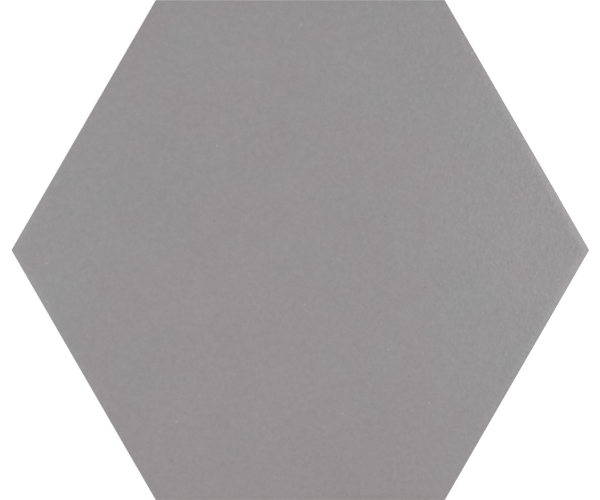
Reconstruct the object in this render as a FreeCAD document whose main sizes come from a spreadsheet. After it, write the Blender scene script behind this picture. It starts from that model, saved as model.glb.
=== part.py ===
import FreeCAD, Part
import math
import os
import Sketcher

# Hexagon floor tile, one pressed and fired piece, lying on its back.
# Millimetres. +Z points out of the wear face, two corners lie on the X axis,
# and the origin is under the middle of the back.

SIZES = {
    "across_flats": 200,     # between two opposite sides
    "thickness": 9,          # from the back to the wear face
    "corner_radius": 0.6,    # of the six upright corners
    "fall_width": 3.5,       # how far in from the edge the face begins to fall
    "fall_drop": 0.35,       # how far it has fallen at the edge
    "arris_radius": 0.4,     # edge between the falling face and the upright side
    "skirt_height": 4.5,     # lower part of the side, which leaves the mould with draft
    "skirt_inset": 0.4,      # how far the skirt's foot stands in from the upright side
    "back_bevel": 0.5,       # around the back
    "cell_width": 20,        # keying cell in the back, between two opposite sides
    "cell_corner": 1.5,
    "cell_depth": 0.6,
    "cell_slope": 30,        # lean of a cell's walls, in degrees
    "rib_width": 3,          # between two neighbouring cells
    "least_border": 6,       # plain border around the cells, at its narrowest
}

SIDES = 6
SIXTH_TURN = 360 / SIDES

# Outlines of the tile from the back to the face: name, height and inset.
OUTLINES = (
    ("back_edge", "0", "Sizes.skirt_inset + Sizes.back_bevel"),
    ("skirt_foot", "Sizes.back_bevel", "Sizes.skirt_inset"),
    ("skirt_top", "Sizes.skirt_height", "0"),
    ("side_top", "Sizes.thickness", "0"),
)

CELL_PITCH = "(Sizes.cell_width + Sizes.rib_width)"
FALL_RADIUS = "(Sizes.fall_width ^ 2 + Sizes.fall_drop ^ 2) / (2 * Sizes.fall_drop)"
WASTE = 1  # how far a cutting profile reaches past the faces that it trims


def size_sheet(doc):
    sheet = doc.addObject("Spreadsheet::Sheet", "Sizes")
    for row, (alias, value) in enumerate(SIZES.items(), start=1):
        sheet.set(f"A{row}", alias)
        sheet.set(f"B{row}", str(value))
        sheet.setAlias(f"B{row}", alias)
    doc.recompute()
    return sheet


def origin_feature(body, role):
    return next(item for item in body.Origin.OriginFeatures if item.Role == role)


def vector(length, degrees, start=FreeCAD.Vector()):
    turn = math.radians(degrees)
    return start + FreeCAD.Vector(math.cos(turn), math.sin(turn), 0) * length


def constrain(sketch, *terms):
    return sketch.addConstraint(Sketcher.Constraint(*terms))


def bind(sketch, name, expression, *terms):
    """A constraint whose value follows an expression on the sheet."""
    sketch.renameConstraint(constrain(sketch, *terms), name)
    sketch.setExpression(f".Constraints.{name}", expression)


def rounded_hexagon(body, name, inradius, corner, first_side, height="0", centre="0"):
    """A sketch of a hexagon with rounded corners, centred on the sketch's X axis.

    inradius, corner, height and centre are expressions. first_side is the bearing of the
    first side's normal in degrees.
    """
    sketch = body.newObject("Sketcher::SketchObject", name)
    sketch.AttachmentSupport = [(origin_feature(body, "XY_Plane"), "")]
    sketch.MapMode = "FlatFace"
    sketch.setExpression(".AttachmentOffset.Base.z", height)

    apothem = float(sketch.evalExpression(inradius))
    radius = float(sketch.evalExpression(corner))
    middle = FreeCAD.Vector(float(sketch.evalExpression(centre)), 0, 0)
    half_side = (apothem - radius) * math.tan(math.radians(SIXTH_TURN / 2))
    arc_reach = (apothem - radius) / math.cos(math.radians(SIXTH_TURN / 2))

    for index in range(SIDES):
        bearing = first_side + index * SIXTH_TURN
        foot = vector(apothem, bearing, middle)
        start = vector(half_side, bearing - 90, foot)
        end = vector(half_side, bearing + 90, foot)
        sketch.addGeometry(Part.LineSegment(start, end), False)
    for index in range(SIDES):
        bearing = first_side + index * SIXTH_TURN
        arc_centre = vector(arc_reach, bearing + SIXTH_TURN / 2, middle)
        circle = Part.Circle(arc_centre, FreeCAD.Vector(0, 0, 1), radius)
        arc = Part.ArcOfCircle(circle, math.radians(bearing), math.radians(bearing + SIXTH_TURN))
        sketch.addGeometry(arc, False)
    ring = sketch.addGeometry(Part.Circle(middle, FreeCAD.Vector(0, 0, 1), apothem), True)

    constrain(sketch, "PointOnObject", ring, 3, -1)
    if centre == "0":
        constrain(sketch, "PointOnObject", ring, 3, -2)
    else:
        bind(sketch, "centre", centre, "DistanceX", -1, 1, ring, 3, middle.x)
    bind(sketch, "inradius", inradius, "Radius", ring, apothem)
    for index in range(SIDES):
        following = (index + 1) % SIDES
        constrain(sketch, "Tangent", index, ring)
        constrain(sketch, "Tangent", index, 2, SIDES + index, 1)
        constrain(sketch, "Tangent", SIDES + index, 2, following, 1)
    for index in range(1, SIDES):
        constrain(sketch, "Angle", index - 1, 1, index, 1, math.radians(SIXTH_TURN))
        constrain(sketch, "Equal", SIDES, SIDES + index)
    bind(sketch, "corner", corner, "Radius", SIDES, radius)
    constrain(sketch, "Vertical" if first_side == 0 else "Horizontal", 0)
    return sketch


def pressed_blank(body):
    """The tile without its rounded edge and keying cells: bands between outlines."""
    outlines = []
    for name, height, inset in OUTLINES:
        inradius = f"Sizes.across_flats / 2 - ({inset})"
        outlines.append(rounded_hexagon(body, name, inradius, "Sizes.corner_radius", 90, height))
    blank = body.newObject("PartDesign::AdditiveLoft", "pressed_blank")
    blank.Profile = outlines[0]
    blank.Sections = outlines[1:]
    blank.Ruled = True
    body.Document.recompute()


def rounded_edge(body):
    """The face curves down along each side and turns into it with a small arris."""
    cut = body.newObject("PartDesign::Pocket", "edge_cut")
    cut.Profile = edge_profile(body)
    cut.SideType = "Symmetric"
    cut.setExpression(".Length", "Sizes.across_flats")
    body.Document.recompute()
    pattern = body.newObject("PartDesign::PolarPattern", "edge_all_round")
    pattern.Originals = [cut]
    pattern.Axis = (origin_feature(body, "Z_Axis"), [""])
    pattern.Angle = 360
    pattern.Occurrences = SIDES
    body.Tip = pattern
    body.Document.recompute()


def edge_profile(body):
    """What is taken off outside the rounded edge, drawn across the side that faces +Y.

    The fall is an arc that leaves the face level. The arris is a small arc from the fall to
    the upright side.
    """
    sketch = body.newObject("Sketcher::SketchObject", "edge_profile")
    sketch.AttachmentSupport = [(origin_feature(body, "YZ_Plane"), "")]
    sketch.MapMode = "FlatFace"
    sheet = body.Document.Sizes
    side = sheet.across_flats / 2
    start = side - sheet.fall_width
    face = sheet.thickness
    small = sheet.arris_radius
    large = float(sketch.evalExpression(FALL_RADIUS))
    fall_centre = FreeCAD.Vector(start, face - large, 0)
    offset = sheet.fall_width - small
    rise = math.sqrt((large - small) ** 2 - offset ** 2)
    arris_centre = fall_centre + FreeCAD.Vector(offset, rise, 0)
    meeting = math.atan2(rise, offset)

    normal = FreeCAD.Vector(0, 0, 1)
    fall_circle = Part.Circle(fall_centre, normal, large)
    arris_circle = Part.Circle(arris_centre, normal, small)
    fall = sketch.addGeometry(Part.ArcOfCircle(fall_circle, meeting, math.pi / 2), False)
    arris = sketch.addGeometry(Part.ArcOfCircle(arris_circle, 0, meeting), False)
    corners = [
        FreeCAD.Vector(side, arris_centre.y, 0),
        FreeCAD.Vector(side + WASTE, arris_centre.y, 0),
        FreeCAD.Vector(side + WASTE, face + WASTE, 0),
        FreeCAD.Vector(start, face + WASTE, 0),
        FreeCAD.Vector(start, face, 0),
    ]
    floor, outside, top, wall = [
        sketch.addGeometry(Part.LineSegment(first, second), False)
        for first, second in zip(corners, corners[1:])
    ]

    constrain(sketch, "Tangent", fall, 1, arris, 2)
    constrain(sketch, "Coincident", arris, 1, floor, 1)
    constrain(sketch, "Coincident", floor, 2, outside, 1)
    constrain(sketch, "Coincident", outside, 2, top, 1)
    constrain(sketch, "Coincident", top, 2, wall, 1)
    constrain(sketch, "Coincident", wall, 2, fall, 2)
    constrain(sketch, "Horizontal", floor)
    constrain(sketch, "Vertical", outside)
    constrain(sketch, "Horizontal", top)
    constrain(sketch, "Vertical", wall)
    constrain(sketch, "PointOnObject", fall, 3, wall)
    constrain(sketch, "Horizontal", arris, 3, arris, 1)
    constrain(sketch, "DistanceX", floor, 1, floor, 2, WASTE)
    constrain(sketch, "DistanceY", wall, 2, wall, 1, WASTE)
    bind(sketch, "side", "Sizes.across_flats / 2", "DistanceX", -1, 1, arris, 1, side)
    bind(sketch, "start", "Sizes.across_flats / 2 - Sizes.fall_width", "DistanceX", -1, 1, fall, 2, start)
    bind(sketch, "face", "Sizes.thickness", "DistanceY", -1, 1, fall, 2, face)
    bind(sketch, "fall_radius", FALL_RADIUS, "Radius", fall, large)
    bind(sketch, "arris_radius", "Sizes.arris_radius", "Radius", arris, small)
    return sketch


def back_punch(doc):
    """The punch that presses the back: hexagon pads in rings around the middle, which leave
    shallow keying cells with ribs between them."""
    sheet = doc.Sizes
    cell_reach = sheet.cell_width / math.sqrt(3)
    row_step = (sheet.cell_width + sheet.rib_width) * math.sqrt(3) / 2
    room = sheet.across_flats / 2 - sheet.skirt_inset - sheet.back_bevel - sheet.least_border
    rings = max(0, math.floor((room - cell_reach) / row_step))

    punch = doc.addObject("PartDesign::Body", "back_punch")
    punch.AllowCompound = True
    punch_pad(punch, "pad_middle", "0")
    for ring in range(1, rings + 1):
        seed = punch_pad(punch, f"pad_ring_{ring}", f"{ring} * {CELL_PITCH}")
        repeat_round(punch, seed, ring)
    return punch


def punch_pad(body, name, centre):
    inradius = "Sizes.cell_width / 2"
    outline = rounded_hexagon(body, f"{name}_outline", inradius, "Sizes.cell_corner", 0, centre=centre)
    pad = body.newObject("PartDesign::Pad", name)
    pad.Profile = outline
    pad.setExpression(".Length", "Sizes.cell_depth")
    pad.setExpression(".TaperAngle", "-Sizes.cell_slope")
    body.Document.recompute()
    return pad


def repeat_round(body, seed, ring):
    """Repeats a pad on the X axis along its side of the ring, and that side six times."""
    steps = []
    if ring > 1:
        row = body.newObject("PartDesign::LinearPattern", f"{seed.Name}_row")
        row.Direction = (side_line(body, seed.Name), ["Axis0"])
        row.Mode = "Spacing"
        row.setExpression(".Offset", CELL_PITCH)
        row.Occurrences = ring
        steps.append(row)
    turn = body.newObject("PartDesign::PolarPattern", f"{seed.Name}_turn")
    turn.Axis = (origin_feature(body, "Z_Axis"), [""])
    turn.Angle = 360
    turn.Occurrences = SIDES
    steps.append(turn)
    pattern = body.newObject("PartDesign::MultiTransform", f"{seed.Name}_repeat")
    pattern.Originals = [seed]
    pattern.Transformations = steps
    body.Tip = pattern
    body.Document.recompute()


def side_line(body, name):
    """A construction line one pitch long, along the side of a ring that starts on the X axis."""
    sketch = body.newObject("Sketcher::SketchObject", f"{name}_direction")
    sketch.AttachmentSupport = [(origin_feature(body, "XY_Plane"), "")]
    sketch.MapMode = "FlatFace"
    pitch = float(sketch.evalExpression(CELL_PITCH))
    line = Part.LineSegment(FreeCAD.Vector(), vector(pitch, 2 * SIXTH_TURN))
    sketch.addGeometry(line, True)
    constrain(sketch, "Coincident", 0, 1, -1, 1)
    constrain(sketch, "Angle", -1, 1, 0, 1, math.radians(2 * SIXTH_TURN))
    bind(sketch, "pitch", CELL_PITCH, "Distance", 0, pitch)
    return sketch


def press_back(body, punch):
    """Cuts the punch out of the back. Every pad of it has to leave its cell."""
    before = body.Shape.Volume
    cells = body.newObject("PartDesign::Boolean", "keying_cells")
    cells.Type = "Cut"
    cells.Group = [punch]
    body.Document.recompute()
    removed = before - body.Shape.Volume
    if abs(removed - punch.Shape.Volume) > 1e-4 * punch.Shape.Volume:
        raise RuntimeError(f"the back punch removed {removed:.1f} mm3 of {punch.Shape.Volume:.1f}")


def check(doc):
    for item in doc.Objects:
        if "Invalid" in item.State or "Error" in item.State:
            raise RuntimeError(f"{item.Name} failed: {item.State}")


def export(bodies):
    os.makedirs("parts", exist_ok=True)
    for body in bodies:
        shape = body.Shape
        if shape.isNull() or not shape.isValid() or len(shape.Solids) != 1:
            raise RuntimeError(f"{body.Label} is not one valid solid")
        shape.exportStep(f"parts/{body.Label}.step")
        box = shape.BoundBox
        print(f"{body.Label}: {box.XLength:.2f} x {box.YLength:.2f} x {box.ZLength:.2f} mm, "
              f"{shape.Volume / 1000:.1f} cm3, {len(shape.Faces)} faces")


doc = FreeCAD.newDocument("hexagon_floor_tile")
size_sheet(doc)
tile = doc.addObject("PartDesign::Body", "tile")
tile.Label = "tile"
tile.Placement = FreeCAD.Placement()
pressed_blank(tile)
rounded_edge(tile)
press_back(tile, back_punch(doc))
doc.recompute()
check(doc)
export([tile])
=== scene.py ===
"""A hexagon floor tile of pressed porcelain with a matt grey glaze, lying face up on a white table."""

import math

import bpy
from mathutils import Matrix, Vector


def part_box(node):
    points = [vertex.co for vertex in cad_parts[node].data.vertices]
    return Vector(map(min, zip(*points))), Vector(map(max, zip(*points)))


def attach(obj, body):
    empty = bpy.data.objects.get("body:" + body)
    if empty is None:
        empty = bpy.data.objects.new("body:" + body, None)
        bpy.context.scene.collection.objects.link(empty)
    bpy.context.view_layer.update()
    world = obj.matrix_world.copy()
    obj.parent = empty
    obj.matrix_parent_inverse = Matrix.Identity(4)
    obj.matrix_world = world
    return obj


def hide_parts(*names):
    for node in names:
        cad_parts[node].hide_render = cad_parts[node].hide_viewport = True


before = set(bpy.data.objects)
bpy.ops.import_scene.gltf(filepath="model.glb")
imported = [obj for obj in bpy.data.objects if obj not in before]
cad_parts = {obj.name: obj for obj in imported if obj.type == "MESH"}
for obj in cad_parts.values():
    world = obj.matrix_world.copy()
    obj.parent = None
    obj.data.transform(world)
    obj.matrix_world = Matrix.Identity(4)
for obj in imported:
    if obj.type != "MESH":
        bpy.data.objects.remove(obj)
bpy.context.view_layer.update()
tile_low, tile_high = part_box("tile")
scene = bpy.context.scene

MM = 0.001
SIDES = 6
SIXTH_TURN = math.tau / SIDES

# The tile's sizes, in metres and radians. The width and the thickness are the frame's. The growth is how
# much a ring's corner radius shrinks for each metre that its reach grows.

SIZES = {
    "Across Flats": tile_high.y - tile_low.y,
    "Thickness": tile_high.z - tile_low.z,
    "Corner Radius": 0.6 * MM,
    "Corner Growth": 0.9,
    "Fall Width": 3.5 * MM,
    "Fall Drop": 0.35 * MM,
    "Arris Radius": 0.4 * MM,
    "Skirt Height": 4.5 * MM,
    "Skirt Inset": 0.4 * MM,
    "Press Step": 0.06 * MM,
    "Back Bevel": 0.5 * MM,
    "Back Border": 3.0 * MM,
    "Cell Width": 20 * MM,
    "Cell Corner": 1.5 * MM,
    "Cell Depth": 0.6 * MM,
    "Cell Slope": math.radians(30),
    "Rib Width": 3 * MM,
    "Edge Softness": 0.12 * MM,
    "Face Waves": 0.03 * MM,
    "Wave Length": 26 * MM,
}

# The rings of cells round the middle one on the back

CELL_RINGS = 4

# How finely the tile is divided. The inner corner is the corner radius of the rings near the middle of
# the face, as a share of their reach. Points nearer each other than the weld become one.

SIDE_COLUMNS = 48
CORNER_COLUMNS = 8
FALL_ROWS = 9
ARRIS_ROWS = 6
CELL_SIDE_COLUMNS = 6
CELL_CORNER_COLUMNS = 4
INNER_CORNER = 0.18
WELD = 0.002 * MM

# Lengths in the finish are in millimetres. A period is the distance between blotches, and a colour's
# depth or shade is a share of its brightness.

# The glaze's colour and gloss

COOL_GLAZE = (0.3029, 0.2965, 0.3022)
WARM_GLAZE = (0.3124, 0.2900, 0.2957)
# The glaze's tone drifts between the cool and the warm colour. Its seed lays the warm side at the lower
# left and the cool side at the right, so the drift is partly the glaze's own uneven tone and partly a
# painted tint of cool light from the right
HUE_PERIOD = 120
HUE_SEED = 972.5
HUE_CONTRAST = 4.93
CLOUD_PERIOD = 60
CLOUD_SEED = 53.5
CLOUD_DEPTH = 0.14
GRAIN_PERIOD = 2.2
GRAIN_DEPTH = 0.31
GLAZE_ROUGHNESS = 0.30
GLOSS_PERIOD = 2.4
GLOSS_SPREAD = 0.14

# Its orange peel, and the share of it that is left on the rounded edge. The peel sinks to that share
# between these two depths below the face.

PEEL_PERIOD = 1.6
PEEL_HEIGHT = 0.14
EDGE_PEEL = 0.45
EDGE_START = 0.035
EDGE_END = 0.25

# Its specks. Each square as wide as the spacing has a place for one, and these shares of the places hold
# a pale fleck and a pinhole. The pinhole's darkening is painted shade in its pit.

SPECK_SPACING = 17
SPECK_RADIUS = 0.6
FLECK_SHARE = 0.11
FLECK_SHADE = 0.35
PINHOLE_SHARE = 0.07
PINHOLE_PAINTED_SHADE = 0.3
PINHOLE_DEPTH = 0.05

# Its lower edge on the sides, as a height that sags in long waves and frays in short ones

GLAZE_LINE = 6.2
GLAZE_FEATHER = 0.25
GLAZE_THICKNESS = 0.06
SAG_PERIOD = 8
SAG_DEPTH = 2.0
FRAY_PERIOD = 0.9
FRAY_DEPTH = 1.2

# How far the axes that its noise is read on are turned about X, Y and Z, in radians

ASKEW = (0.7, 0.4, 0.3)

# The bare fired body. A pair is the range of noise, or of height, over which something comes in. The wash
# goes out over its heights instead.

BODY_COLOUR = (0.46, 0.43, 0.39)
BODY_ROUGHNESS = 0.82
BODY_GRAIN_PERIOD = 0.9
BODY_GRAIN_DEPTH = 0.3
BODY_CLOUD_PERIOD = 9
BODY_CLOUD_DEPTH = 0.12
BODY_GLOSS_SPREAD = 0.3
IRON_PERIOD = 0.8
IRON_RANGE = (0.19, 0.25)
IRON_SHADE = 0.25
WASH_COLOUR = (0.56, 0.545, 0.52)
WASH_PERIOD = 7
WASH_RANGE = (-0.06, 0.1)
WASH_HEIGHTS = (0.02, 0.12)
WASH_SHARE = 0.6
DRAW_PERIOD = 0.8
DRAW_STRETCH = 0.06
DRAW_HEIGHTS = (0.5, 1.0)
DRAW_DEPTH = 0.05
PIT_PERIOD = 1.1
PIT_RANGE = (0.12, 0.26)
PIT_DEPTH = 0.06
GRIT_PERIOD = 0.5
GRIT_DEPTH = 0.05

# The camera looks straight down. The span is how much of the face's plane the picture's width shows, and
# the middle of the tile lies at these pixels from the picture's top left corner.

LENS = 135
SENSOR = 36
PICTURE_WIDTH = 600
PICTURE_HEIGHT = 500
PICTURE_SPAN = 239.65 * MM
TILE_CENTRE = (300.3, 250.1)

# The table, in metres. To the eye it has its colour and a glow, which rises from start to end as it gets
# farther away. Its bounce is its colour for the light that it throws back on the tile.

FLOOR_WIDTH = 8.0
FLOOR_GAP = 0.05 * MM
FLOOR_COLOUR = (0.42, 0.42, 0.42)
FLOOR_GLOW = 0.75
FAR_GLOW = 0.95
FAR_START = 0.25
FAR_END = 0.9
FLOOR_BOUNCE = (0.9, 0.9, 0.9)

# The even light from all sides, where 1 lights a surface as brightly as it is coloured

WORLD_STRENGTH = 0.594

# Each lamp: degrees round from +X, degrees down from overhead, metres away, metres wide, strength

LAMPS = {
    "key_lamp": (5, 35, 0.8, 0.42, 0.81),
    "left_lamp": (183, 42, 0.5, 0.3, 0.43),
}


class Value:
    """A number in a node tree. An expression on values adds the Math nodes that work it out."""

    def __init__(self, graph, socket):
        self.graph = graph
        self.socket = socket

    def math(self, operation, *others, clamp=False):
        inputs = dict(enumerate((self, *others)))
        return self.graph.node("ShaderNodeMath", {"operation": operation, "use_clamp": clamp}, inputs)

    def __add__(self, other):
        return self.math("ADD", other)

    def __radd__(self, other):
        return self.math("ADD", other)

    def __sub__(self, other):
        return self.math("SUBTRACT", other)

    def __rsub__(self, other):
        return self.math("MULTIPLY", -1) + other

    def __mul__(self, other):
        return self.math("MULTIPLY", other)

    def __rmul__(self, other):
        return self.math("MULTIPLY", other)

    def __truediv__(self, other):
        return self.math("DIVIDE", other)

    def __rtruediv__(self, other):
        return self.math("POWER", -1) * other

    def __neg__(self):
        return self.math("MULTIPLY", -1)

    def __abs__(self):
        return self.math("ABSOLUTE")

    def __pow__(self, other):
        return self.math("POWER", other)

    def clamped(self):
        return self.math("ADD", 0, clamp=True)

    def between(self, low, high):
        """0 at low, 1 at high and smooth between them."""
        share = ((self - low) / (high - low)).clamped()
        return share * share * (3 - 2 * share)


def sine(angle):
    return angle.math("SINE") if isinstance(angle, Value) else math.sin(angle)


def cosine(angle):
    return angle.math("COSINE") if isinstance(angle, Value) else math.cos(angle)


class Graph:
    """A node tree that is filled one node at a time."""

    def __init__(self, tree):
        self.tree = tree
        self.tree.nodes.clear()

    def node(self, kind, settings=None, inputs=None, output=0):
        """Adds a node, gives it its settings and then its inputs, and returns one of its outputs."""
        node = self.tree.nodes.new(kind)
        for name, value in (settings or {}).items():
            setattr(node, name, value)
        for name, value in (inputs or {}).items():
            self.feed(self.find(node.inputs, name), value)
        return None if output is None else Value(self, self.find(node.outputs, output))

    def find(self, sockets, name):
        if isinstance(name, int):
            return sockets[name]
        return next(socket for socket in sockets if socket.enabled and socket.name == name)

    def feed(self, socket, value):
        """Links a value, or each of a list of values, to a socket, or sets the socket to a plain number."""
        for one in value if isinstance(value, list) else [value]:
            if isinstance(one, Value):
                self.tree.links.new(one.socket, socket)
            else:
                socket.default_value = one

    def other(self, value, output):
        """Another output of the node that gives a value."""
        return Value(self, self.find(value.socket.node.outputs, output))


# Shape


def unit_grid(graph, columns, rows):
    """A grid of unit squares, and how many columns and rows each point lies from its middle."""
    mesh = graph.node("GeometryNodeMeshGrid", None, {
        "Size X": columns,
        "Size Y": rows,
        "Vertices X": columns + 1,
        "Vertices Y": rows + 1,
    }, "Mesh")
    column = graph.node("ShaderNodeSeparateXYZ", None, {0: graph.node("GeometryNodeInputPosition")})
    return mesh, column, graph.other(column, "Y")


def placed(graph, mesh, **place):
    return graph.node("GeometryNodeSetPosition", None, {"Geometry": mesh, **place})


def turned(graph, mesh, *angles):
    return graph.node("GeometryNodeTransform", None, {"Geometry": mesh, "Rotation": angles})


def joined(graph, meshes):
    return graph.node("GeometryNodeJoinGeometry", None, {0: meshes})


def welded(graph, mesh):
    return graph.node("GeometryNodeMergeByDistance", None, {"Geometry": mesh, "Distance": WELD})


def hexagon_point(graph, turns, reach, corner, height, corner_share):
    """The point so many sixth turns round a rounded hexagon whose first corner is on +X.

    reach is half the width across flats, corner the corner radius, and corner_share the part of the
    points that lie on the corners' arcs.
    """
    sixth = (turns + 0.5).math("FLOOR")
    across = (turns - sixth) * 2
    lean = (across / corner_share).math("MINIMUM", 1).math("MAXIMUM", -1) * (SIXTH_TURN / 2)
    past_arc = ((abs(across) - corner_share) / (1 - corner_share)).math("MAXIMUM", 0)
    middle = reach - corner
    run = past_arc * middle * math.tan(SIXTH_TURN / 2)
    x = middle / math.cos(SIXTH_TURN / 2) + corner * cosine(lean) - run * math.sin(SIXTH_TURN / 2)
    y = corner * sine(lean) + across.math("SIGN") * run * math.cos(SIXTH_TURN / 2)
    turn = sixth * SIXTH_TURN
    return graph.node("ShaderNodeCombineXYZ", None, {
        "X": x * cosine(turn) - y * sine(turn),
        "Y": x * sine(turn) + y * cosine(turn),
        "Z": height,
    })


class Skin:
    """A skin of hexagon rings, one for each row of a grid, that follows a section from stretch to stretch.

    A ring has a reach, which is half its width across flats, a height and a corner radius.
    """

    def __init__(self, graph, side_columns, corner_columns, reach, height, corner):
        self.graph = graph
        self.side_columns = side_columns
        self.corner_share = corner_columns / side_columns
        self.rows = 0
        self.mesh, self.column, from_middle = unit_grid(graph, side_columns * SIDES, 1)
        self.row = from_middle + 0.5
        self.ring = {"reach": reach, "height": height, "corner": corner}

    def share(self, rows):
        """How much of the next stretch, which has so many rows, a row has behind it."""
        share = ((self.row - self.rows) / rows).clamped()
        self.rows += rows
        return share

    def move(self, **steps):
        for name, step in steps.items():
            self.ring[name] = self.ring[name] + step

    def straight(self, rows, **steps):
        share = self.share(rows)
        self.move(**{name: share * step for name, step in steps.items()})

    def edge_to_edge(self, softness, length, **steps):
        """A straight stretch with a narrow row along each of its edges, which rounds their shading."""
        narrow = softness / length
        for part in (narrow, 1 - narrow * 2, narrow):
            self.straight(1, **{name: part * step for name, step in steps.items()})

    def bend(self, rows, radius, start, end, growth):
        """An arc whose surface leans from start to end. Its corners shrink by growth on the way out."""
        lean = start + self.share(rows) * (end - start)
        out = radius * (sine(lean) - sine(start))
        self.move(reach=out, height=radius * (cosine(lean) - cosine(start)), corner=-growth * out)

    def finished(self):
        """Gives the grid the rows that the stretches have used, and puts its points on their rings."""
        grid = self.mesh.socket.node.inputs
        grid["Size Y"].default_value = self.rows
        grid["Vertices Y"].default_value = self.rows + 1
        self.row.socket.node.inputs[1].default_value = self.rows / 2
        turns = SIDES / 2 - self.column / self.side_columns
        point = hexagon_point(self.graph, turns, **self.ring, corner_share=self.corner_share)
        return placed(self.graph, self.mesh, Position=point)


def rim_skin(graph, size):
    """The rounded fall, the arris, the side, the skirt and the bevelled back edge, all the way round."""
    growth = size["Corner Growth"]
    softness = size["Edge Softness"]
    arris = size["Arris Radius"]
    fall = (size["Fall Width"] ** 2 + size["Fall Drop"] ** 2) / (size["Fall Drop"] * 2)
    meeting = ((size["Fall Width"] - arris) / (fall - arris)).math("ARCSINE")
    arris_height = size["Thickness"] - fall + (fall - arris) * cosine(meeting)
    skin = Skin(
        graph,
        SIDE_COLUMNS,
        CORNER_COLUMNS,
        reach=size["Across Flats"] / 2 - size["Fall Width"],
        height=size["Thickness"],
        corner=size["Corner Radius"] + growth * size["Fall Width"],
    )
    skin.bend(FALL_ROWS, fall, 0, meeting, growth)
    skin.bend(ARRIS_ROWS, arris, meeting, math.pi / 2, growth)
    upright = arris_height - size["Skirt Height"]
    skin.edge_to_edge(softness, upright, height=-upright)
    step = size["Press Step"]
    skin.straight(1, reach=-step, height=-step)
    skirt = size["Skirt Height"] - step - size["Back Bevel"]
    skin.edge_to_edge(softness, skirt, reach=step - size["Skirt Inset"], height=-skirt)
    skin.edge_to_edge(softness, size["Back Bevel"], reach=-size["Back Bevel"], height=-size["Back Bevel"])
    skin.straight(1, reach=-softness)
    skin.straight(1, reach=softness + size["Skirt Inset"] + size["Back Bevel"] - size["Back Border"])
    return welded(graph, skin.finished())


def face_skin(graph, size):
    """The level field of the face: three rhombic grids of even quads, which meet in the middle."""
    mesh, column, row = unit_grid(graph, SIDE_COLUMNS, SIDE_COLUMNS)
    first = column / SIDE_COLUMNS + 0.5
    second = row / SIDE_COLUMNS + 0.5
    ring = first.math("MAXIMUM", second)
    least = first.math("MINIMUM", second) / ring.math("MAXIMUM", 0.5 / SIDE_COLUMNS)
    past_corner = second.math("GREATER_THAN", first)
    turns = least + past_corner * (2 - least * 2)
    reach = size["Across Flats"] / 2 - size["Fall Width"]
    edge_corner = (size["Corner Radius"] + size["Corner Growth"] * size["Fall Width"]) / reach
    corner = edge_corner + ((1 - ring) * 2).clamped() * (INNER_CORNER - edge_corner)
    point = hexagon_point(
        graph, turns, reach * ring, corner * reach * ring, size["Thickness"], CORNER_COLUMNS / SIDE_COLUMNS
    )
    rhomb = placed(graph, mesh, Position=point)
    return joined(graph, [turned(graph, rhomb, 0, 0, turn * SIXTH_TURN) for turn in (0, 2, 4)])


def cell_skin(graph, size):
    """One hollow of the keyed back with half of the ribs round it, facing up, about its own middle."""
    lean = size["Cell Depth"] * size["Cell Slope"].math("TANGENT")
    softness = size["Edge Softness"]
    skin = Skin(
        graph,
        CELL_SIDE_COLUMNS,
        CELL_CORNER_COLUMNS,
        reach=0,
        height=-size["Cell Depth"],
        corner=0,
    )
    skin.straight(
        2,
        reach=size["Cell Width"] / 2 - lean - softness,
        corner=size["Cell Corner"] - lean - softness,
    )
    skin.straight(1, reach=softness, corner=softness)
    wall = size["Cell Depth"] / cosine(size["Cell Slope"])
    skin.edge_to_edge(softness, wall, reach=lean, height=size["Cell Depth"], corner=lean)
    skin.straight(1, reach=softness, corner=softness)
    skin.straight(1, reach=size["Rib Width"] / 2 - softness, corner=-size["Cell Corner"] - softness)
    return turned(graph, skin.finished(), 0, 0, SIXTH_TURN / 2)


def keyed_skin(graph, size):
    """Rings of cells on a lattice as wide as a cell and a rib, turned to face down."""
    mesh, first, second = unit_grid(graph, CELL_RINGS * 2, CELL_RINGS * 2)
    in_rings = abs(first + second).math("LESS_THAN", CELL_RINGS + 0.5)
    kept = graph.node("GeometryNodeSeparateGeometry", None, {"Geometry": mesh, "Selection": in_rings})
    pitch = size["Cell Width"] + size["Rib Width"]
    spot = graph.node("ShaderNodeCombineXYZ", None, {
        "X": (first + second * math.cos(SIXTH_TURN)) * pitch,
        "Y": second * math.sin(SIXTH_TURN) * pitch,
    })
    cells = graph.node("GeometryNodeInstanceOnPoints", None, {
        "Points": placed(graph, kept, Position=spot),
        "Instance": cell_skin(graph, size),
    })
    made = graph.node("GeometryNodeRealizeInstances", None, {"Geometry": cells})
    return welded(graph, turned(graph, made, math.pi, 0, 0))


def open_edge(graph, mesh, size):
    """The mesh's open edge on the back, as a curve."""
    faces = graph.node("GeometryNodeInputMeshEdgeNeighbors")
    place = graph.node("ShaderNodeSeparateXYZ", None, {0: graph.node("GeometryNodeInputPosition")})
    low = graph.other(place, "Z").math("LESS_THAN", size["Thickness"] / 2)
    kept = faces.math("LESS_THAN", 1.5) * low
    return graph.node("GeometryNodeMeshToCurve", None, {"Mesh": mesh, "Selection": kept})


def border_skin(graph, size, *skins):
    """The plain border of the back, between the open edges of two skins."""
    loops = joined(graph, [open_edge(graph, skin, size) for skin in skins])
    filled = graph.node("GeometryNodeFillCurve", None, {0: loops})
    return graph.node("GeometryNodeFlipFaces", None, {0: filled})


def waved(graph, mesh, size):
    """Lowers the glazed face here and there by a few hundredths of a millimetre, as firing leaves it."""
    position = graph.node("GeometryNodeInputPosition")
    noise = graph.node("ShaderNodeTexNoise", None, {
        "Vector": position,
        "Scale": 1 / size["Wave Length"],
        "Detail": 1.0,
    })
    height = graph.other(graph.node("ShaderNodeSeparateXYZ", None, {0: position}), "Z")
    rounding = size["Fall Drop"] + size["Arris Radius"]
    on_face = ((height - size["Thickness"] + rounding) / rounding).clamped()
    drop = graph.node("ShaderNodeCombineXYZ", None, {"Z": -size["Face Waves"] * noise.clamped() * on_face})
    return placed(graph, mesh, Offset=drop)


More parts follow.
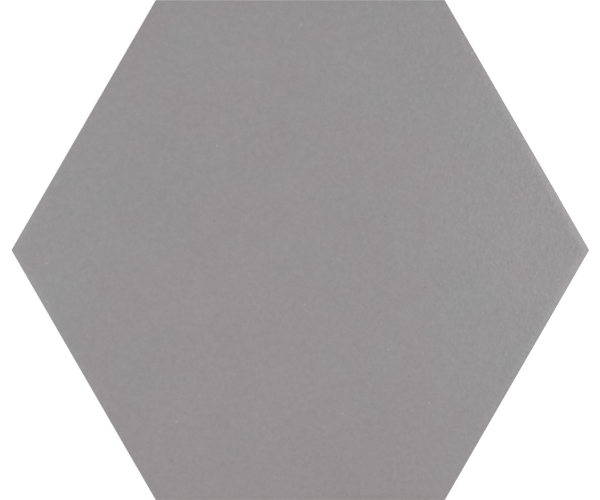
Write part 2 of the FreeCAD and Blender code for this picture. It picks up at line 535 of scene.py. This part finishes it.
def tile_tree(material):
    """Geometry nodes that make the whole tile as one closed skin from its named sizes."""
    tree = bpy.data.node_groups.new("Hexagon tile", "GeometryNodeTree")
    for name in SIZES:
        tree.interface.new_socket(name, in_out="INPUT", socket_type="NodeSocketFloat")
    tree.interface.new_socket("Tile", in_out="OUTPUT", socket_type="NodeSocketGeometry")
    graph = Graph(tree)
    given = graph.node("NodeGroupInput")
    size = {name: graph.other(given, name) for name in SIZES}
    rim = rim_skin(graph, size)
    back = keyed_skin(graph, size)
    skins = [face_skin(graph, size), rim, border_skin(graph, size, rim, back), back]
    closed = waved(graph, welded(graph, joined(graph, skins)), size)
    smooth = graph.node("GeometryNodeSetShadeSmooth", None, {"Geometry": closed})
    plain = graph.node("GeometryNodeRealizeInstances", None, {"Geometry": smooth})
    glazed = graph.node("GeometryNodeSetMaterial", None, {"Geometry": plain, "Material": material})
    graph.node("NodeGroupOutput", None, {"Tile": glazed}, None)
    return tree


def made_by_nodes(name, tree, sizes):
    """An object with the plain mesh that a geometry-node tree makes with these sizes."""
    thing = bpy.data.objects.new(name, bpy.data.meshes.new(name))
    scene.collection.objects.link(thing)
    modifier = thing.modifiers.new(name, "NODES")
    modifier.node_group = tree
    for item in tree.interface.items_tree:
        if item.in_out == "INPUT":
            modifier[item.identifier] = sizes[item.name]
    evaluated = thing.evaluated_get(bpy.context.evaluated_depsgraph_get())
    mesh = bpy.data.meshes.new_from_object(evaluated)
    mesh.materials.pop(index=0)  # the empty slot that the grids bring with them
    thing.modifiers.remove(modifier)
    thing.data = mesh
    return thing


# Finish


def mottle(graph, place, period, detail=0, roughness=0.5, seed=None):
    """Soft noise about 0, with its blotches about a period apart. Each seed gives another pattern."""
    settings = {"noise_dimensions": "3D"}
    inputs = {"Vector": place, "Scale": 1 / period, "Detail": detail, "Roughness": roughness}
    if seed is not None:
        settings["noise_dimensions"] = "4D"
        inputs["W"] = seed
    return graph.node("ShaderNodeTexNoise", settings, inputs) - 0.5


def blended(graph, share, under, over):
    """The colour under, with a share of the colour over on it."""
    inputs = {"Factor": share, "A": under, "B": over}
    return graph.node("ShaderNodeMix", {"data_type": "RGBA"}, inputs, "Result")


def scaled(graph, vector, factor):
    """A place or a colour, times a number."""
    return graph.node("ShaderNodeVectorMath", {"operation": "SCALE"}, {"Vector": vector, "Scale": factor})


def stretched(graph, place, x, y, z):
    return graph.node("ShaderNodeVectorMath", {"operation": "MULTIPLY"}, {0: place, 1: (x, y, z)})


def askew(graph, place):
    """The place on axes that no face lines up with, so that noise shows none of its own lattice."""
    return graph.node("ShaderNodeVectorRotate", {"rotation_type": "EULER_XYZ"}, {
        "Vector": place,
        "Rotation": ASKEW,
    })


def specks(graph, place, spacing, radius):
    """Round specks, seen from above: how near a point is to one, and the chance that each has drawn."""
    distance = graph.node("ShaderNodeTexVoronoi", {"voronoi_dimensions": "2D"}, {
        "Vector": place,
        "Scale": 1 / spacing,
    }, "Distance")
    chance = graph.node("ShaderNodeSeparateColor", None, {0: graph.other(distance, "Color")})
    return (1 - distance * (spacing / radius)).clamped(), chance


def matt_glaze(graph, place, height):
    """The glaze's colour, roughness and relief: fine grained, faintly blotched and orange peeled.

    The orange peel is flatter where the glaze draws over the rounded edge, which lies below the face.
    """
    nearness, chance = specks(graph, place, SPECK_SPACING, SPECK_RADIUS)
    fleck = nearness * chance.math("LESS_THAN", FLECK_SHARE)
    pinhole = nearness * chance.math("GREATER_THAN", 1 - PINHOLE_SHARE)
    place = askew(graph, place)
    # The broad drift between cool and warm: the glaze's own uneven tone, and a painted tint of light, warm
    # at the lower left and cool at the right
    warm_tone_and_painted_tint = mottle(graph, place, HUE_PERIOD, detail=4, roughness=1.0, seed=HUE_SEED) * HUE_CONTRAST + 0.5
    hue = blended(graph, warm_tone_and_painted_tint, (*COOL_GLAZE, 1), (*WARM_GLAZE, 1))
    clouds = mottle(graph, place, CLOUD_PERIOD, detail=3, roughness=0.8, seed=CLOUD_SEED) * CLOUD_DEPTH
    grain = mottle(graph, place, GRAIN_PERIOD, detail=2, roughness=1.0) * GRAIN_DEPTH
    # Pale flecks are the glaze's own colour; the darkening at each pinhole is painted shade in the pit
    flecks_and_pit_shade = fleck * FLECK_SHADE - pinhole * PINHOLE_PAINTED_SHADE
    colour = scaled(graph, hue, clouds + grain + flecks_and_pit_shade + 1)
    roughness = mottle(graph, place, GLOSS_PERIOD, detail=2) * GLOSS_SPREAD + GLAZE_ROUGHNESS
    face = tile_high.z / MM
    level = height.between(face - EDGE_END, face - EDGE_START)
    peel = mottle(graph, place, PEEL_PERIOD, detail=1, roughness=0.6) * PEEL_HEIGHT
    relief = peel * (EDGE_PEEL + level * (1 - EDGE_PEEL)) - pinhole * PINHOLE_DEPTH
    return colour, roughness, relief


def bare_body(graph, place, height):
    """The bare body's colour, roughness and relief: grainy, drawn on the sides and dusted on the back."""
    grain = mottle(graph, place, BODY_GRAIN_PERIOD, detail=2, roughness=0.8) * BODY_GRAIN_DEPTH
    tone = grain + mottle(graph, place, BODY_CLOUD_PERIOD, detail=1) * BODY_CLOUD_DEPTH
    iron = mottle(graph, place, IRON_PERIOD, detail=1).between(*IRON_RANGE) * IRON_SHADE
    colour = scaled(graph, BODY_COLOUR, tone - iron + 1)
    dust = mottle(graph, place, WASH_PERIOD, detail=3, roughness=0.7).between(*WASH_RANGE)
    wash = dust * (1 - height.between(*WASH_HEIGHTS)) * WASH_SHARE
    dusted = blended(graph, wash, colour, (*WASH_COLOUR, 1))
    roughness = tone * BODY_GLOSS_SPREAD + BODY_ROUGHNESS
    streaks = mottle(graph, stretched(graph, place, 1, 1, DRAW_STRETCH), DRAW_PERIOD, detail=2)
    draw = streaks * height.between(*DRAW_HEIGHTS) * DRAW_DEPTH
    pits = mottle(graph, place, PIT_PERIOD, detail=1).between(*PIT_RANGE) * PIT_DEPTH
    grit = mottle(graph, place, GRIT_PERIOD, detail=2, roughness=0.7) * GRIT_DEPTH
    return dusted, roughness, grit + draw - pits


def glazed_porcelain():
    """Matt glaze over the face and the top of the sides, and the bare fired body below and behind."""
    material = bpy.data.materials.new("Glazed porcelain")
    material.use_nodes = True
    graph = Graph(material.node_tree)
    metres = graph.node("ShaderNodeTexCoord", None, None, "Object")
    place = scaled(graph, metres, 1 / MM)
    height = graph.other(graph.node("ShaderNodeSeparateXYZ", None, {0: place}), "Z")
    glaze_colour, glaze_roughness, peel = matt_glaze(graph, place, height)
    body_colour, body_roughness, grit = bare_body(graph, place, height)
    sag = mottle(graph, place, SAG_PERIOD, detail=2, roughness=0.6) * SAG_DEPTH
    fray = mottle(graph, place, FRAY_PERIOD, detail=1) * FRAY_DEPTH
    cover = (height + sag + fray).between(GLAZE_LINE - GLAZE_FEATHER, GLAZE_LINE + GLAZE_FEATHER)
    relief = grit + cover * (peel + GLAZE_THICKNESS - grit)
    shader = graph.node("ShaderNodeBsdfPrincipled", None, {
        "Base Color": blended(graph, cover, body_colour, glaze_colour),
        "Roughness": body_roughness + cover * (glaze_roughness - body_roughness),
        "Normal": graph.node("ShaderNodeBump", None, {"Strength": 1.0, "Distance": MM, "Height": relief}),
    })
    graph.node("ShaderNodeOutputMaterial", None, {"Surface": shader}, None)
    return material


# Studio


def seen(graph):
    """1 for what the camera sees, straight or in a reflection, and 0 for the light that lights things."""
    path = graph.node("ShaderNodeLightPath", None, None, "Is Camera Ray")
    return (path + graph.other(path, "Is Glossy Ray") + graph.other(path, "Is Transmission Ray")).clamped()


def lay_floor():
    """A white table that looks evenly lit, and still takes the tile's shadow."""
    half = FLOOR_WIDTH / 2
    mesh = bpy.data.meshes.new("floor")
    corners = [(x, y, -FLOOR_GAP) for x, y in ((-half, -half), (half, -half), (half, half), (-half, half))]
    mesh.from_pydata(corners, [], [(0, 1, 2, 3)])
    floor = bpy.data.objects.new("floor", mesh)
    scene.collection.objects.link(floor)
    material = bpy.data.materials.new("White table")
    material.use_nodes = True
    graph = Graph(material.node_tree)
    place = graph.node("ShaderNodeTexCoord", None, None, "Object")
    away = graph.node("ShaderNodeVectorMath", {"operation": "LENGTH"}, {0: place}, "Value")
    glow = FLOOR_GLOW + away.between(FAR_START, FAR_END) * (FAR_GLOW - FLOOR_GLOW)
    lit = graph.node("ShaderNodeBsdfDiffuse", None, {"Color": (*FLOOR_COLOUR, 1)})
    glowing = graph.node("ShaderNodeEmission", None, {
        "Color": scaled(graph, (1, 1, 1), glow),
        "Strength": 1.0,
    })
    both = graph.node("ShaderNodeAddShader", None, {0: lit, 1: glowing})
    pale = graph.node("ShaderNodeBsdfDiffuse", None, {"Color": (*FLOOR_BOUNCE, 1)})
    mixed = graph.node("ShaderNodeMixShader", None, {0: seen(graph), 1: pale, 2: both})
    graph.node("ShaderNodeOutputMaterial", None, {"Surface": mixed}, None)
    mesh.materials.append(material)


def light_world():
    """Even white light from all sides, seen as plain white."""
    world = bpy.data.worlds.new("Studio")
    scene.world = world
    world.use_nodes = True
    graph = Graph(world.node_tree)
    strength = WORLD_STRENGTH + seen(graph) * (1 - WORLD_STRENGTH)
    light = graph.node("ShaderNodeBackground", None, {"Color": (1, 1, 1, 1), "Strength": strength})
    graph.node("ShaderNodeOutputWorld", None, {"Surface": light}, None)


def hang_lamp(name, bearing, slant, distance, width, strength):
    """A square soft box that points at the tile. A strength of pi lights it as fully as a world of 1."""
    away = Vector((
        math.sin(math.radians(slant)) * math.cos(math.radians(bearing)),
        math.sin(math.radians(slant)) * math.sin(math.radians(bearing)),
        math.cos(math.radians(slant)),
    ))
    lamp = bpy.data.lights.new(name, "AREA")
    lamp.shape = "SQUARE"
    lamp.size = width
    lamp.energy = strength * math.pi * distance ** 2
    holder = bpy.data.objects.new(name, lamp)
    holder.location = away * distance
    holder.rotation_euler = away.to_track_quat("Z", "Y").to_euler()
    holder.visible_camera = False
    scene.collection.objects.link(holder)


def place_camera():
    camera = bpy.data.cameras.new("Camera")
    camera.lens = LENS
    camera.sensor_width = SENSOR
    pixel = PICTURE_SPAN / PICTURE_WIDTH
    holder = bpy.data.objects.new("Camera", camera)
    holder.location = (
        (PICTURE_WIDTH / 2 - TILE_CENTRE[0]) * pixel,
        (TILE_CENTRE[1] - PICTURE_HEIGHT / 2) * pixel,
        PICTURE_SPAN * LENS / SENSOR + tile_high.z,
    )
    scene.collection.objects.link(holder)
    scene.camera = holder


tile = made_by_nodes("hexagon_tile", tile_tree(glazed_porcelain()), SIZES)
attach(tile, "root")
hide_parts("tile")

lay_floor()
light_world()
for name, place in LAMPS.items():
    hang_lamp(name, *place)
place_camera()
scene.view_settings.view_transform = "Standard"
